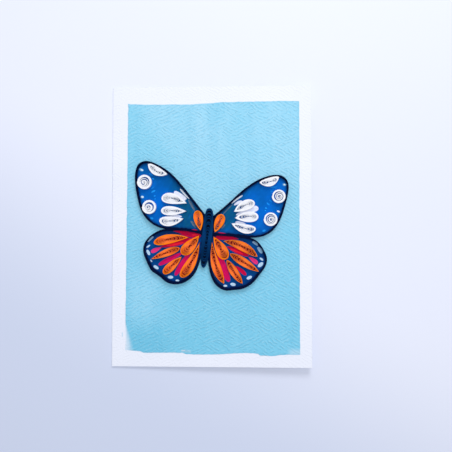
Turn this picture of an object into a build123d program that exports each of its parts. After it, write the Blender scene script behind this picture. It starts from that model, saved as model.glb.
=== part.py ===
from build123d import *
from bisect import bisect_left
from itertools import pairwise
from math import cos, pi, radians, sin
import os

# A quilled greeting card: a folded sheet of heavy watercolour paper lies on its back leaf, with the
# fold on the left and the front leaf a little open. A butterfly stands on the front leaf, made of
# paper strips on edge: an outline round each wing, and rolled strips pinched into petals.
# X runs from the fold to the free edge, Y up the card, Z up from the table.

# The folded sheet
card_width = 127.0
card_height = 178.0
card_paper = 0.45
fold_inside_radius = 0.25
leaf_gape = 2.5

# The butterfly's backing, cut from thinner painted paper
backing_paper = 0.25
backing_margin = 0.25

# Paper strips on edge
strip_width = 3.0
outline_thickness = 0.7
strip_clearance = 0.1
wing_facets = 56
curve_samples = 400
bend_length_per_degree = 0.25

# The rolled strips: a tight outer band, then loose turns down to an open eye
band = 0.75
strip_thickness = 0.28
loose_turns = 3.5
eye_width = 0.7
eye_stretch = 0.25
pinch_stretch = 2.2
edge_facets = 22
turn_facets = 10
disc_turn_facets = 14
disc_proportion = 1.1

fold_outside_radius = fold_inside_radius + card_paper
leaf_straight = card_width - fold_outside_radius
fold_axis = Vector(-card_width / 2 + fold_outside_radius, 0, fold_outside_radius)
leaf_direction = Vector(cos(radians(leaf_gape)), 0, sin(radians(leaf_gape)))
leaf_normal = Vector(-sin(radians(leaf_gape)), 0, cos(radians(leaf_gape)))

# The middle of the front leaf's outer face, on which the whole butterfly is laid out
leaf_middle = (
    fold_axis + leaf_normal * fold_outside_radius + leaf_direction * (card_width / 2 - fold_outside_radius)
)
leaf_face = Plane(origin=leaf_middle, x_dir=leaf_direction, z_dir=leaf_normal)
backing_face = leaf_face.offset(backing_paper)

# Where the strips of a forewing and a hindwing stand side by side, from the body outwards
left_seam = [(-4.0, -5.0), (-15.0, -2.6), (-23.0, -2.0)]
right_seam = [(-0.5, -5.2), (6.0, -5.5), (13.5, -5.95), (17.6, -6.35), (21.6, -6.85)]
seam_step = (outline_thickness + strip_clearance) / 2


def beside(seam, rise):
    """Points of a seam moved up the card by a rise, for the strip that stands on that side of it."""
    return [(across, along + rise) for across, along in seam]


# Middle of the strip round each wing, from the body round the wing and back to the body
wings = {
    "left_forewing": [
        (-3.3, 5.8), (-12.2, 17.3), (-19.7, 26.6), (-28.1, 35.0), (-34.9, 39.1), (-41.5, 41.0),
        (-45.6, 39.3), (-47.5, 34.9), (-47.8, 28.0), (-46.2, 18.1), (-43.2, 8.8), (-38.2, 2.7),
        (-30.0, -1.0), *reversed(beside(left_seam, seam_step)),
    ],
    "left_hindwing": [
        *beside(left_seam, -seam_step), (-30.0, -2.5), (-37.4, -5.9), (-41.9, -11.6), (-42.3, -16.6),
        (-40.0, -22.8), (-37.6, -27.4), (-32.2, -31.5), (-28.0, -34.9), (-23.3, -36.3),
        (-17.3, -35.2), (-11.3, -30.4), (-7.4, -21.2), (-4.8, -13.0),
    ],
    "right_forewing": [
        (0.7, 5.2), (7.2, 10.4), (13.2, 15.7), (19.1, 21.1), (25.4, 25.9), (32.2, 29.6), (39.8, 31.6),
        (44.5, 31.1), (47.7, 28.4), (48.4, 22.2), (46.7, 14.5), (44.3, 6.8), (40.5, -0.3),
        (35.8, -4.5), (30.0, -6.5), *reversed(beside(right_seam, seam_step)),
    ],
    "right_hindwing": [
        *beside(right_seam, -seam_step), (28.2, -9.6), (33.0, -15.7), (34.8, -21.4), (32.8, -26.9),
        (30.0, -30.6), (27.0, -34.4), (22.6, -37.8), (18.4, -39.4), (14.2, -39.8), (10.0, -40.2),
        (5.8, -38.7), (2.1, -34.8), (-0.4, -28.0), (-1.4, -21.0), (-2.0, -14.0),
    ],
}

# Each rolled strip: its first end, its other end, its greatest width, how sharply each end is
# pinched (0.5 is round, 1 is a point) and how far its middle is bent to the left of its axis
petals = {
    "left_forewing_half_moon": ((-39.8, 39.6), (-27.5, 32.9), 5.6, 0.65, 0.8, -1.5),
    "left_forewing_upper_disc": ((-46.9, 28.1), (-37.6, 28.1), 9.3, 0.5, 0.5, 0.0),
    "left_forewing_lower_disc": ((-43.7, 12.2), (-34.7, 12.2), 9.0, 0.5, 0.5, 0.0),
    "left_forewing_upper_petal": ((-15.2, 14.2), (-31.3, 18.1), 7.1, 1.0, 0.5, -0.9),
    "left_forewing_middle_petal": ((-15.4, 9.3), (-31.6, 9.8), 6.1, 1.0, 0.5, 0.0),
    "left_forewing_lower_petal": ((-17.3, 4.6), (-32.7, 3.3), 6.4, 0.9, 0.5, 0.9),
    "left_forewing_root_petal": ((-6.6, -2.9), (-8.7, 9.8), 6.1, 0.9, 0.5, 0.0),
    "right_forewing_half_moon": ((43.1, 30.5), (30.6, 27.2), 5.6, 0.7, 0.75, 1.4),
    "right_forewing_upper_disc": ((38.5, 18.6), (47.1, 18.6), 8.6, 0.5, 0.5, 0.0),
    "right_forewing_lower_disc": ((33.3, 4.2), (42.0, 4.2), 8.7, 0.5, 0.5, 0.0),
    "right_forewing_upper_petal": ((14.6, 9.1), (27.7, 15.0), 6.6, 0.85, 0.5, 0.6),
    "right_forewing_middle_petal": ((15.2, 5.2), (30.1, 5.8), 6.9, 0.85, 0.5, 0.2),
    "right_forewing_lower_petal": ((13.2, 1.7), (28.4, -2.2), 6.0, 0.8, 0.5, -1.3),
    "right_forewing_root_petal": ((2.4, -4.0), (7.5, 7.4), 6.1, 0.9, 0.5, 0.0),
    "left_hindwing_top_petal": ((-13.9, -7.3), (-36.2, -10.6), 6.3, 1.0, 0.55, -0.9),
    "left_hindwing_outer_petal": ((-37.8, -20.9), (-19.7, -13.9), 4.9, 1.0, 0.6, 0.3),
    "left_hindwing_short_petal": ((-18.4, -19.4), (-30.0, -30.0), 5.6, 0.9, 0.5, 0.0),
    "left_hindwing_inner_petal": ((-7.2, -6.0), (-18.4, -17.7), 7.5, 1.0, 0.5, 0.4),
    "left_hindwing_long_petal": ((-7.0, -10.4), (-18.8, -32.3), 6.7, 1.2, 0.5, 1.4),
    "right_hindwing_top_petal": ((29.3, -19.4), (8.1, -9.5), 5.8, 0.75, 0.9, -1.9),
    "right_hindwing_outer_petal": ((30.2, -28.8), (12.0, -17.4), 5.3, 0.9, 0.7, 0.0),
    "right_hindwing_short_petal": ((19.9, -36.3), (10.1, -21.4), 5.2, 0.8, 0.75, 0.4),
    "right_hindwing_inner_petal": ((1.9, -6.6), (9.9, -20.9), 7.6, 1.0, 0.5, 0.0),
    "right_hindwing_long_petal": ((8.2, -36.4), (0.8, -10.0), 5.8, 0.8, 1.3, 1.8),
    "body": ((-5.0, -26.4), (-0.8, 11.4), 6.6, 0.4, 0.3, -0.45),
}


def strip_side(middle, distance):
    """Corners of a wing strip's face that lies a distance to the right of its middle line.

    The line is a smooth curve. Its corners are evenly spaced by length, where each degree of bend
    counts as some length more, so that they are closer together round the wing's tip.
    """
    curve = Spline(*middle, mode=Mode.PRIVATE)
    shares = [sample / curve_samples for sample in range(curve_samples + 1)]
    travelled = [0.0]
    for start, end in pairwise(shares):
        bend = (curve % start).get_angle(curve % end)
        travelled.append(travelled[-1] + curve.length / curve_samples + bend_length_per_degree * bend)
    stops = [travelled[-1] * facet / wing_facets for facet in range(wing_facets + 1)]
    picked = [shares[min(bisect_left(travelled, stop), curve_samples)] for stop in stops]
    return [curve @ share + (curve % share).rotate(Axis.Z, -90) * distance for share in picked]


def strip_edge(middle, reach):
    """Corners of the closed edge that lies a reach to each side of a wing strip's middle line."""
    return [*strip_side(middle, reach), *reversed(strip_side(middle, -reach))]


def petal_point(petal, angle, first_inset=0.0, other_inset=0.0, side_inset=0.0):
    """Point of a turn of a rolled strip, at an angle round it that is 0 at its first end.

    At a share u of the way along the axis, the half width goes as u^a (1-u)^b, so that each end is
    round or pinched by its own power. The insets say how far inside the strip's outer edge it lies.
    """
    first, other, width, first_power, other_power, bend = petal
    axis = Vector(*other) - Vector(*first)
    length = axis.length
    axis = axis.normalized()
    side = Vector(-axis.Y, axis.X)
    along = (1 - cos(angle)) / 2
    widest = first_power / (first_power + other_power)
    fullness = (along / widest) ** first_power * ((1 - along) / (1 - widest)) ** other_power
    across = (width / 2 - side_inset) * fullness * (1 if sin(angle) < 0 else -1)
    run = first_inset + (length - first_inset - other_inset) * along
    bow = 4 * bend * (run / length) * (1 - run / length)
    return Vector(*first) + axis * run + side * (across + bow)


def petal_edge(petal, facets=edge_facets):
    """Outer edge of a rolled strip, as the corners of its facets."""
    return [petal_point(petal, 2 * pi * i / facets) for i in range(facets)]


def petal_air(petal):
    """The air between the turns: a spiral channel that ends in the open eye.

    Its outer wall winds in from the tight band, and its inner wall follows one turn further in, less
    the strip's thickness, so that a strip of even thickness is left between one turn and the next.
    """
    first, other, width, first_power, other_power, bend = petal
    length = (Vector(*other) - Vector(*first)).length
    first_stretch = 1 + pinch_stretch * max(first_power - 0.5, 0)
    other_stretch = 1 + pinch_stretch * max(other_power - 0.5, 0)
    eye_length = eye_width + eye_stretch * (length - width)
    ends_inset = length - eye_length
    first_total = ends_inset * first_stretch / (first_stretch + other_stretch)
    other_total = ends_inset - first_total
    side_total = (width - eye_width) / 2
    totals = (first_total, other_total, side_total)
    bands = (band * first_stretch, band * other_stretch, band)
    strips = (strip_thickness * first_stretch, strip_thickness * other_stretch, strip_thickness)
    pitches = [(total - edge) / loose_turns for total, edge in zip(totals, bands)]
    facets = disc_turn_facets if length < disc_proportion * width else turn_facets
    steps = round(loose_turns * facets)

    def wall(step, walls_in):
        insets = [
            edge + pitch * (step / facets + walls_in) - walls_in * thickness
            for edge, pitch, thickness in zip(bands, pitches, strips)
        ]
        return petal_point(petal, 2 * pi * step / facets, *insets)

    outer_wall = [wall(step, 0) for step in range(steps + 1)]
    inner_wall = [wall(step, 1) for step in range(steps - facets, -1, -1)]
    return outer_wall + inner_wall


def save(part, name):
    """Label a finished piece and write it under its node's name."""
    part.label = name
    export_step(part, f"parts/{name}.step")


os.makedirs("parts", exist_ok=True)

# One sheet folded once, drawn in section along the middle of the paper
with BuildPart() as folded_card:
    with BuildSketch(Plane.XZ):
        with BuildLine():
            back_leaf = Line((card_width / 2, card_paper / 2), (fold_axis.X, card_paper / 2))
            fold = JernArc(
                start=back_leaf @ 1,
                tangent=back_leaf % 1,
                radius=fold_inside_radius + card_paper / 2,
                arc_size=leaf_gape - 180,
            )
            Line(fold @ 1, (fold @ 1) + (fold % 1) * leaf_straight)
        trace(line_width=card_paper)
    extrude(amount=card_height / 2, both=True)
save(folded_card.part, "folded_card")

# The painted butterfly, cut from one sheet a little outside the strips that stand round its wings
backing_reach = outline_thickness / 2 + backing_margin
with BuildPart() as butterfly_backing:
    with BuildSketch(leaf_face):
        for middle in wings.values():
            with BuildLine():
                Polyline(*strip_side(middle, 0), close=True)
            make_face()
            with BuildLine():
                Polyline(*strip_edge(middle, backing_reach), close=True)
            make_face()
        with BuildLine():
            Polyline(*petal_edge(petals["body"]), close=True)
        make_face()
    extrude(amount=backing_paper)
save(butterfly_backing.part, "butterfly_backing")

# The room that the wing outlines leave for the body, which they end against
with BuildSketch() as body_seat:
    with BuildLine():
        Polyline(*petal_edge(petals["body"]), close=True)
    make_face()
    offset(amount=strip_clearance)

# A black strip on edge round each wing, from one side of the body back to it
for wing, middle in wings.items():
    with BuildPart() as outline:
        with BuildSketch(backing_face):
            with BuildLine():
                Polyline(*strip_edge(middle, outline_thickness / 2), close=True)
            make_face()
            add(body_seat.sketch, mode=Mode.SUBTRACT)
        extrude(amount=strip_width)
    save(outline.part, f"{wing}_outline")

# The rolled strips, each standing on the backing
for petal_name, petal in petals.items():
    with BuildPart() as rolled_strip:
        with BuildSketch(backing_face):
            with BuildLine():
                Polyline(*petal_edge(petal), close=True)
            make_face()
            with BuildLine():
                Polyline(*petal_air(petal), close=True)
            make_face(mode=Mode.SUBTRACT)
        extrude(amount=strip_width)
    save(rolled_strip.part, f"{petal_name}_coil")
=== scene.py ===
import bpy
import numpy as np
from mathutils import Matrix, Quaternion, Vector


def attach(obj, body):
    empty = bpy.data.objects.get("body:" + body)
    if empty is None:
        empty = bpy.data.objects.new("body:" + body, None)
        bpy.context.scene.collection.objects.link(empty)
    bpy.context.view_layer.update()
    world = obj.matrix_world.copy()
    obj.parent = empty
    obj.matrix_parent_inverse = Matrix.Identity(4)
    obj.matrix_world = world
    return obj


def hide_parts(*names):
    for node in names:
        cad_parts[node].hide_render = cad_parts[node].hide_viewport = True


# A quilled greeting card lying on a pale table. Lengths are in millimetres until a mesh is made.
# Places on the front leaf are given as (across, along): mm to the right of and above its middle.

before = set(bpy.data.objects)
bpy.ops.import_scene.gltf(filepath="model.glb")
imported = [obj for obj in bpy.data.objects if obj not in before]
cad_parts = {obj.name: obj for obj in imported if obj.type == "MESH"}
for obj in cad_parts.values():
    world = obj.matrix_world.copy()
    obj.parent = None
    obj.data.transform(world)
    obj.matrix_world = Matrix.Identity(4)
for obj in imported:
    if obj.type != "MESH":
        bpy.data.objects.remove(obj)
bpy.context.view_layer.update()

MM = 0.001

# Edges with a greater angle than this are shaded sharp, and how finely a curve is measured before
# its points are spaced out
sharp_angle = np.radians(35)
samples_per_point = 40

# The folded sheet
card_width = 127.0
card_height = 178.0
card_paper = 0.45
fold_inside_radius = 0.25
leaf_gape = np.radians(2.5)
cut_edge_rounding = 0.05
fold_points = 25
leaf_points = 24
sheet_stations = 30

# The painted cut-out: its patches' tops, which step down where they overlap, its underside, and
# its rings of points, as shares of the way from a patch's middle to its edge
backing_paper = 0.25
backing_margin = 0.25
forewing_top = backing_paper
hindwing_top = 0.244
body_top = 0.238
cutout_foot = 0.004
wing_edge_points = 300
body_edge_points = 96
wing_rings = np.array([0.02, 0.06, 0.12, *np.linspace(0.2, 0.8, 16), *np.linspace(0.82, 1.0, 16)])
body_rings = np.linspace(0.1, 0.99, 5)

# Dabs of paint: how thick they are, how much higher each lies than the one before it, and how far
# its streaks are moved on from that one's
paint_thickness = 0.03
paint_step = 0.0015
streak_step = np.array([13.7, 5.1])
mark_points = 56
mark_rings = np.array([0.02, 0.35, 0.65, 0.82, 0.92, 0.97, 1.0])

# The black strips round the wings, glued side by side on edge
strip_width = 3.0
outline_thickness = 0.7
strip_clearance = 0.1
end_slack = 0.02
outline_points = 420
groove_half_width = 0.03
groove_depth = 0.14
top_softening = 0.03

# The rolled strips: their paper, the air between packed turns, and the open eye, which is longer in
# a long petal by a share of how much its length is over its width. A coloured strip's eye takes a
# share of the petal's width and a margin on each side.
quilling_paper = 0.24
turn_air = 0.012
stations_per_turn = 72
eye_width = 0.7
eye_stretch = 0.04
eye_share_of_width = 0.2
eye_margin = 0.1

# How the loose turns lie: how much of their spacing the paper fills at a petal's sides and in a
# disc, how uneven their gaps are, how much closer they lie at a pinched end, and in how much of a
# turn they come loose
side_fill = 0.93
disc_fill = 0.6
gap_unevenness = 0.5
gap_waves_per_turn = 0.43
tip_gather = 2.2
loosening = 0.6

# The round folds at the pinched ends: their greatest radius, the share of the petal's room and of
# the turn's half width that they take, the least of all, how far past a round end's power an end is
# fully pinched, and the least half width of a turn
petal_fold = 1.1
fold_room = 0.62
fold_bluntness = 0.62
least_fold = 0.01
pinch_range = 0.25
least_half = 0.02

# How far the foot of a loose turn lies inside its top, how far the eye dips, and the top's waver:
# its size, and its angle in each turn
foot_lean = 0.03
eye_dip = 0.22
top_waver = 0.035
top_waver_rate = 5.3

# The body's strip, which is folded more and more from its first turn on, by a power of its share of
# the way in
body_paper = 0.2
body_fold = 0.9
body_fold_power = 0.4
body_eye_length = 2.0
body_tip_gather = 2.6

# The grain of the card's rough paper: its crests' spacing up the sheet, and their slope
grain_rise = 2.3
grain_slope = 0.62

# The wash's upper and lower edges run in steps between two places across the card. Each has its
# lowest place, and how far its steps rise from there.
wash_left = -56.0
wash_right = 58.0
wash_top = 77.6
wash_top_rise = 2.0
wash_foot = -81.7
wash_foot_rise = 2.8

fold_outside_radius = fold_inside_radius + card_paper
fold_axis = np.array([-card_width / 2 + fold_outside_radius, 0.0, fold_outside_radius])
leaf_across = np.array([np.cos(leaf_gape), 0.0, np.sin(leaf_gape)])
leaf_along = np.array([0.0, 1.0, 0.0])
leaf_out = np.array([-np.sin(leaf_gape), 0.0, np.cos(leaf_gape)])
leaf_middle = fold_axis + leaf_out * fold_outside_radius
leaf_middle = leaf_middle + leaf_across * (card_width / 2 - fold_outside_radius)

# Where the strips of a forewing and a hindwing stand side by side, from the body outwards
left_seam = [(-4.0, -5.0), (-15.0, -2.6), (-23.0, -2.0)]
right_seam = [(-0.5, -5.2), (6.0, -5.5), (13.5, -5.95), (17.6, -6.35), (21.6, -6.85)]
seam_step = (outline_thickness + strip_clearance) / 2


def beside(seam, rise):
    """Points of a seam moved up the card by a rise, for the strip that stands on that side of it."""
    return [(across, along + rise) for across, along in seam]


# Middle of the strip round each wing, from the body round the wing and back to the body
wings = {
    "left_forewing": [
        (-3.3, 5.8), (-12.2, 17.3), (-19.7, 26.6), (-28.1, 35.0), (-34.9, 39.1), (-41.5, 41.0),
        (-45.6, 39.3), (-47.5, 34.9), (-47.8, 28.0), (-46.2, 18.1), (-43.2, 8.8), (-38.2, 2.7),
        (-30.0, -1.0), *reversed(beside(left_seam, seam_step)),
    ],
    "left_hindwing": [
        *beside(left_seam, -seam_step), (-30.0, -2.5), (-37.4, -5.9), (-41.9, -11.6), (-42.3, -16.6),
        (-40.0, -22.8), (-37.6, -27.4), (-32.2, -31.5), (-28.0, -34.9), (-23.3, -36.3),
        (-17.3, -35.2), (-11.3, -30.4), (-7.4, -21.2), (-4.8, -13.0),
    ],
    "right_forewing": [
        (0.7, 5.2), (7.2, 10.4), (13.2, 15.7), (19.1, 21.1), (25.4, 25.9), (32.2, 29.6), (39.8, 31.6),
        (44.5, 31.1), (47.7, 28.4), (48.4, 22.2), (46.7, 14.5), (44.3, 6.8), (40.5, -0.3),
        (35.8, -4.5), (30.0, -6.5), *reversed(beside(right_seam, seam_step)),
    ],
    "right_hindwing": [
        *beside(right_seam, -seam_step), (28.2, -9.6), (33.0, -15.7), (34.8, -21.4), (32.8, -26.9),
        (30.0, -30.6), (27.0, -34.4), (22.6, -37.8), (18.4, -39.4), (14.2, -39.8), (10.0, -40.2),
        (5.8, -38.7), (2.1, -34.8), (-0.4, -28.0), (-1.4, -21.0), (-2.0, -14.0),
    ],
}
wing_centres = {
    "left_forewing": (-30.0, 16.0),
    "left_hindwing": (-24.0, -17.0),
    "right_forewing": (28.0, 11.0),
    "right_hindwing": (16.0, -22.0),
}

# Each rolled strip: its first end, its other end, its greatest width, how sharply each end is
# pinched (0.5 is round, 1 is a point) and how far its middle is bent to the left of its axis
petals = {
    "left_forewing_half_moon": ((-39.8, 39.6), (-27.5, 32.9), 5.6, 0.65, 0.8, -1.5),
    "left_forewing_upper_disc": ((-46.9, 28.1), (-37.6, 28.1), 9.3, 0.5, 0.5, 0.0),
    "left_forewing_lower_disc": ((-43.7, 12.2), (-34.7, 12.2), 9.0, 0.5, 0.5, 0.0),
    "left_forewing_upper_petal": ((-15.2, 14.2), (-31.3, 18.1), 7.1, 1.0, 0.5, -0.9),
    "left_forewing_middle_petal": ((-15.4, 9.3), (-31.6, 9.8), 6.1, 1.0, 0.5, 0.0),
    "left_forewing_lower_petal": ((-17.3, 4.6), (-32.7, 3.3), 6.4, 0.9, 0.5, 0.9),
    "left_forewing_root_petal": ((-6.6, -2.9), (-8.7, 9.8), 6.1, 0.9, 0.5, 0.0),
    "right_forewing_half_moon": ((43.1, 30.5), (30.6, 27.2), 5.6, 0.7, 0.75, 1.4),
    "right_forewing_upper_disc": ((38.5, 18.6), (47.1, 18.6), 8.6, 0.5, 0.5, 0.0),
    "right_forewing_lower_disc": ((33.3, 4.2), (42.0, 4.2), 8.7, 0.5, 0.5, 0.0),
    "right_forewing_upper_petal": ((14.6, 9.1), (27.7, 15.0), 6.6, 0.85, 0.5, 0.6),
    "right_forewing_middle_petal": ((15.2, 5.2), (30.1, 5.8), 6.9, 0.85, 0.5, 0.2),
    "right_forewing_lower_petal": ((13.2, 1.7), (28.4, -2.2), 6.0, 0.8, 0.5, -1.3),
    "right_forewing_root_petal": ((2.4, -4.0), (7.5, 7.4), 6.1, 0.9, 0.5, 0.0),
    "left_hindwing_top_petal": ((-13.9, -7.3), (-36.2, -10.6), 6.3, 1.0, 0.55, -0.9),
    "left_hindwing_outer_petal": ((-37.8, -20.9), (-19.7, -13.9), 4.9, 1.0, 0.6, 0.3),
    "left_hindwing_short_petal": ((-18.4, -19.4), (-30.0, -30.0), 5.6, 0.9, 0.5, 0.0),
    "left_hindwing_inner_petal": ((-7.2, -6.0), (-18.4, -17.7), 7.5, 1.0, 0.5, 0.4),
    "left_hindwing_long_petal": ((-7.0, -10.4), (-18.8, -32.3), 6.7, 1.2, 0.5, 1.4),
    "right_hindwing_top_petal": ((29.3, -19.4), (8.1, -9.5), 5.8, 0.75, 0.9, -1.9),
    "right_hindwing_outer_petal": ((30.2, -28.8), (12.0, -17.4), 5.3, 0.9, 0.7, 0.0),
    "right_hindwing_short_petal": ((19.9, -36.3), (10.1, -21.4), 5.2, 0.8, 0.75, 0.4),
    "right_hindwing_inner_petal": ((1.9, -6.6), (9.9, -20.9), 7.6, 1.0, 0.5, 0.0),
    "right_hindwing_long_petal": ((8.2, -36.4), (0.8, -10.0), 5.8, 0.8, 1.3, 1.8),
    "body": ((-5.0, -26.4), (-0.8, 11.4), 6.6, 0.4, 0.3, -0.45),
}

# How each is rolled: its packed turns, its loose turns, and where its eye lies, as a share of the
# way from its first end and as millimetres to the left of its axis
rolls = {
    "left_forewing_half_moon": (3, 6, 0.5, -0.3),
    "left_forewing_upper_disc": (5, 3, 0.43, -0.4),
    "left_forewing_lower_disc": (5, 3, 0.42, -0.4),
    "left_forewing_upper_petal": (4, 7, 0.62, -0.45),
    "left_forewing_middle_petal": (4, 6, 0.6, -0.2),
    "left_forewing_lower_petal": (4, 6, 0.58, -0.3),
    "left_forewing_root_petal": (2, 7, 0.62, 0.0),
    "right_forewing_half_moon": (3, 6, 0.45, -0.3),
    "right_forewing_upper_disc": (4, 4, 0.55, -0.4),
    "right_forewing_lower_disc": (4, 4, 0.55, -0.4),
    "right_forewing_upper_petal": (4, 6, 0.62, 0.1),
    "right_forewing_middle_petal": (4, 7, 0.64, 0.4),
    "right_forewing_lower_petal": (4, 5, 0.58, 0.3),
    "right_forewing_root_petal": (2, 7, 0.62, -0.1),
    "left_hindwing_top_petal": (2, 10, 0.62, 0.1),
    "left_hindwing_outer_petal": (1, 9, 0.5, 0.0),
    "left_hindwing_short_petal": (2, 7, 0.54, 0.0),
    "left_hindwing_inner_petal": (2, 8, 0.56, -0.1),
    "left_hindwing_long_petal": (2, 10, 0.54, -0.2),
    "right_hindwing_top_petal": (1, 10, 0.5, 0.1),
    "right_hindwing_outer_petal": (1, 9, 0.46, 0.0),
    "right_hindwing_short_petal": (1, 8, 0.5, 0.0),
    "right_hindwing_inner_petal": (2, 8, 0.56, 0.0),
    "right_hindwing_long_petal": (1, 11, 0.46, -0.1),
    "body": (1, 10, 0.5, 0.0),
}

# The hollow between a disc's packed turns and its loose ones: at its first end, at its other end,
# on its left and on its right
hollows = {
    "left_forewing_upper_disc": (0.0, 0.55, 0.55, 0.0),
    "left_forewing_lower_disc": (0.0, 0.5, 0.5, 0.0),
    "right_forewing_upper_disc": (0.6, 0.0, 0.45, 0.0),
    "right_forewing_lower_disc": (0.5, 0.0, 0.5, 0.0),
}


def on_leaf(places, out):
    """Points in metres on the front leaf: its middle plus steps across, along and out from it."""
    steps = np.broadcast_arrays(places[..., 0], places[..., 1], out)
    directions = (leaf_across, leaf_along, leaf_out)
    return (leaf_middle + sum(s[..., None] * d for s, d in zip(steps, directions))) * MM


def grid_faces(rows, columns):
    """Quads between rows of points counted row by row, each row closed on itself."""
    row, column = np.divmod(np.arange((rows - 1) * columns), columns)
    here = row * columns
    after = here + columns
    next_column = (column + 1) % columns
    return np.stack([here + column, after + column, after + next_column, here + next_column], 1)


def joined(parts):
    """Several sets of points, quads and triangles as one, whose faces count on from set to set."""
    starts = np.cumsum([0] + [len(points) for points, quads, triangles in parts[:-1]])
    points = np.concatenate([part[0] for part in parts])
    quads = np.concatenate([part[1] + start for part, start in zip(parts, starts)])
    triangles = np.concatenate([part[2] + start for part, start in zip(parts, starts)])
    return points, quads, triangles


def add_piece(
    name, points, quads, materials, nodes=(), uv=None, numbers=None, face_materials=None,
    triangles=None,
):
    """Makes a mesh from arrays of points in metres and faces, and hangs it on the card's one body.

    uv holds two numbers for each point, and numbers holds named values for each point that the
    material reads.
    """
    mesh = bpy.data.meshes.new(name)
    mesh.vertices.add(len(points))
    mesh.vertices.foreach_set("co", points.astype(np.float32).ravel())
    corners = quads.ravel()
    starts = np.arange(len(quads)) * 4
    if triangles is not None:
        starts = np.concatenate([starts, len(corners) + np.arange(len(triangles)) * 3])
        corners = np.concatenate([corners, triangles.ravel()])
    mesh.loops.add(len(corners))
    mesh.loops.foreach_set("vertex_index", corners.astype(np.int32))
    mesh.polygons.add(len(starts))
    mesh.polygons.foreach_set("loop_start", starts.astype(np.int32))
    mesh.polygons.foreach_set("use_smooth", np.ones(len(starts), bool))
    for material in materials:
        mesh.materials.append(material)
    if face_materials is not None:
        mesh.polygons.foreach_set("material_index", face_materials.astype(np.int32))
    mesh.update(calc_edges=True)
    if uv is not None:
        layer = mesh.uv_layers.new(name="strip")
        layer.data.foreach_set("uv", uv[corners].astype(np.float32).ravel())
    for key, values in (numbers or {}).items():
        layer = mesh.attributes.new(key, "FLOAT", "POINT")
        layer.data.foreach_set("value", values.astype(np.float32))
    mesh.set_sharp_from_angle(angle=sharp_angle)
    piece = bpy.data.objects.new(name, mesh)
    bpy.context.scene.collection.objects.link(piece)
    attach(piece, "root")
    if nodes:
        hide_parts(*nodes)


def smooth_line(points, count):
    """Evenly spaced points on the curve through given points.

    In each span the curve is a cubic. Its slope and its bend carry over from span to span, and its
    bend is nothing at both ends. The spans are measured by the straight distances between points.
    """
    points = np.array(points, float)
    knots = travelled_along(points)
    spans = np.diff(knots)
    slopes = np.diff(points, axis=0) / spans[:, None]
    system = np.eye(len(points))
    right = np.zeros_like(points)
    inner = np.arange(1, len(points) - 1)
    system[inner, inner - 1] = spans[:-1]
    system[inner, inner] = 2 * (spans[:-1] + spans[1:])
    system[inner, inner + 1] = spans[1:]
    right[inner] = 6 * np.diff(slopes, axis=0)
    bends = np.linalg.solve(system, right)
    where = np.linspace(0, knots[-1], samples_per_point * len(points))
    span = np.clip(np.searchsorted(knots, where, side="right") - 1, 0, len(spans) - 1)
    length = spans[span][:, None]
    after = (where - knots[span])[:, None]
    before = length - after
    curve = (
        (bends[span] * before**3 + bends[span + 1] * after**3) / (6 * length)
        + (points[span] / length - bends[span] * length / 6) * before
        + (points[span + 1] / length - bends[span + 1] * length / 6) * after
    )
    travelled = travelled_along(curve)
    even = np.linspace(0, travelled[-1], count)
    return np.stack([np.interp(even, travelled, curve[:, i]) for i in range(2)], 1)


def right_of(line):
    """Unit steps to the right of an open line, square to its direction at each point."""
    step = np.gradient(line, axis=0)
    step /= np.linalg.norm(step, axis=1)[:, None]
    return np.stack([step[:, 1], -step[:, 0]], 1)


def travelled_along(line):
    """How far each point of a line lies from its start, measured along it."""
    return np.concatenate([[0.0], np.cumsum(np.linalg.norm(np.diff(line, axis=0), axis=1))])


def petal_fullness(along, first_power, other_power):
    """Half width of a petal as a share of its greatest: u^a (1-u)^b over its value where it is widest."""
    widest = first_power / (first_power + other_power)
    return (along / widest) ** first_power * ((1 - along) / (1 - widest)) ** other_power


def petal_axis(petal):
    """A petal's length, the unit step along its axis, and the unit step to the left of it."""
    axis = np.subtract(petal[1], petal[0])
    length = np.linalg.norm(axis)
    axis = axis / length
    return length, axis, np.array([-axis[1], axis[0]])


def bowed_by(bow, share):
    """How far a bent axis lies to the left of a straight one: a parabola, as high as the bow midway."""
    return 4 * bow * share * (1 - share)


def petal_turn(petal, angle, first_inset=0.0, other_inset=0.0, left_inset=0.0, right_inset=0.0,
               folds=None, fold=petal_fold):
    """Points of a rolled strip's turns on the leaf, at angles that are 0 at its first end.

    The share of the way along the axis is (1 - cos angle) / 2. The half width there is the petal's
    fullness times its own half width less the inset of that side. The axis is bowed as a parabola.
    Where a turn is folded at an end, its half width there is a round fold's, plus a rest that rises
    with the share t of the way to the widest place as t (1.25 - 0.25 t^4). The fold's radius is the
    least of the given one, a share of the turn's own half width, and a share of the half width that
    the petal has half a fold in from the turn's end.
    """
    first, other, width, first_power, other_power, bow = petal
    length, axis, left = petal_axis(petal)
    along = np.clip((1 - np.cos(angle)) / 2, 0, 1)
    on_right = np.sin(angle) >= 0
    half = np.maximum(width / 2 - np.where(on_right, right_inset, left_inset), least_half)
    run = first_inset + (length - first_inset - other_inset) * along
    across = half * petal_fullness(along, first_power, other_power)
    if folds is not None:
        widest = first_power / (first_power + other_power)
        from_end = np.minimum(run - first_inset, length - other_inset - run)
        near = np.minimum(along / widest, (1 - along) / (1 - widest))
        end = np.where(along < widest, first_inset + fold / 2, length - other_inset - fold / 2)
        room = petal_fullness(np.clip(end / length, 0, 1), first_power, other_power)
        room = fold_room * width / 2 * room
        radius = np.maximum(np.minimum(np.minimum(fold, fold_bluntness * half), room), least_fold)
        round_fold = radius * np.sqrt(1 - (1 - np.clip(from_end / radius, 0, 1)) ** 2)
        folded = round_fold + (half - radius) * near * (1.25 - 0.25 * near**4)
        share = np.where(along < widest, folds[0], folds[1])
        across = across + (folded - across) * share
    across = across * np.where(on_right, -1, 1) + bowed_by(bow, run / length)
    return np.array(first) + run[:, None] * axis + across[:, None] * left


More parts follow.
